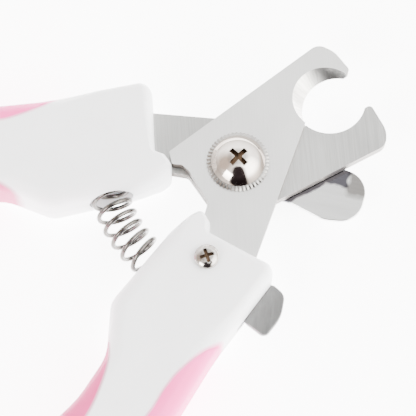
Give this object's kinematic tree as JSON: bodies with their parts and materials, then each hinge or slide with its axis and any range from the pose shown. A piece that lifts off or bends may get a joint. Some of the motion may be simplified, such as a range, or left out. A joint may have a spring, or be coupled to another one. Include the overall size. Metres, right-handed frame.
{
  "type": "pet nail trimmer",
  "caption": "Plier-style pet nail trimmer with hooked shear blades, sprung two-tone handles, a swinging nail guard and a side lock lever.",
  "frame": {"origin": "centre of the open trimmer's bounding box, at the height of the handles' rear faces on which it lies", "axes": "+X along the trimmer from the handles to the jaws, +Z along the blade pivot towards the front blade and the domed screw, +Y to the upper handle"},
  "size_m": [0.154, 0.1122, 0.0167],
  "materials": {
    "handle_white": "satin",
    "grip_pink": "soft matte",
    "blade_satin": "satin",
    "blade_brushed": "fine brushed",
    "polished_steel": "polished",
    "stamped_steel": "stamped"
  },
  "bodies": {
    "lower_handle": {"lower_front_shell": "handle_white", "lower_rear_shell": "handle_white", "lower_outer_grip": "grip_pink", "lower_inner_grip": "grip_pink", "front_blade": "blade_satin", "lower_tang_pin_front": "stamped_steel", "lower_tang_pin_back": "stamped_steel", "lower_shell_screw_front": "stamped_steel", "lower_shell_screw_back": "stamped_steel", "pivot_screw": "polished_steel", "tooth_washer": "polished_steel", "rear_washer": "stamped_steel", "pivot_nut": "stamped_steel", "lock_screw": "polished_steel", "return_spring": "polished_steel"},
    "upper_handle": {"upper_front_shell": "handle_white", "upper_rear_shell": "handle_white", "upper_outer_grip": "grip_pink", "upper_inner_grip": "grip_pink", "rear_blade": "blade_brushed", "upper_tang_pin_front": "stamped_steel", "upper_tang_pin_back": "stamped_steel", "upper_shell_screw_front": "stamped_steel", "upper_shell_screw_back": "stamped_steel"},
    "guard": {"nail_guard": "polished_steel"},
    "lock": {"lock_lever": "stamped_steel"}
  },
  "joints": [
    {"name": "handle_hinge", "type": "hinge", "parent": "lower_handle", "child": "upper_handle", "pos_m": [0.04467, 0, 0.0075], "axis": [0, 0, 1], "range_deg": [0, 30], "stiffness_Nm_per_rad": 0.6, "springref_deg": -22.92, "deforming": ["return_spring"]},
    {"name": "guard_hinge", "type": "hinge", "parent": "lower_handle", "child": "guard", "pos_m": [0.04467, 0, 0.0041], "axis": [0, 0, 1], "range_deg": [-30, 55]},
    {"name": "lock_hinge", "type": "hinge", "parent": "lower_handle", "child": "lock", "pos_m": [0.02661, -0.01584, 0.00635], "axis": [0, 0, 1], "range_deg": [0, 52]}
  ]
}
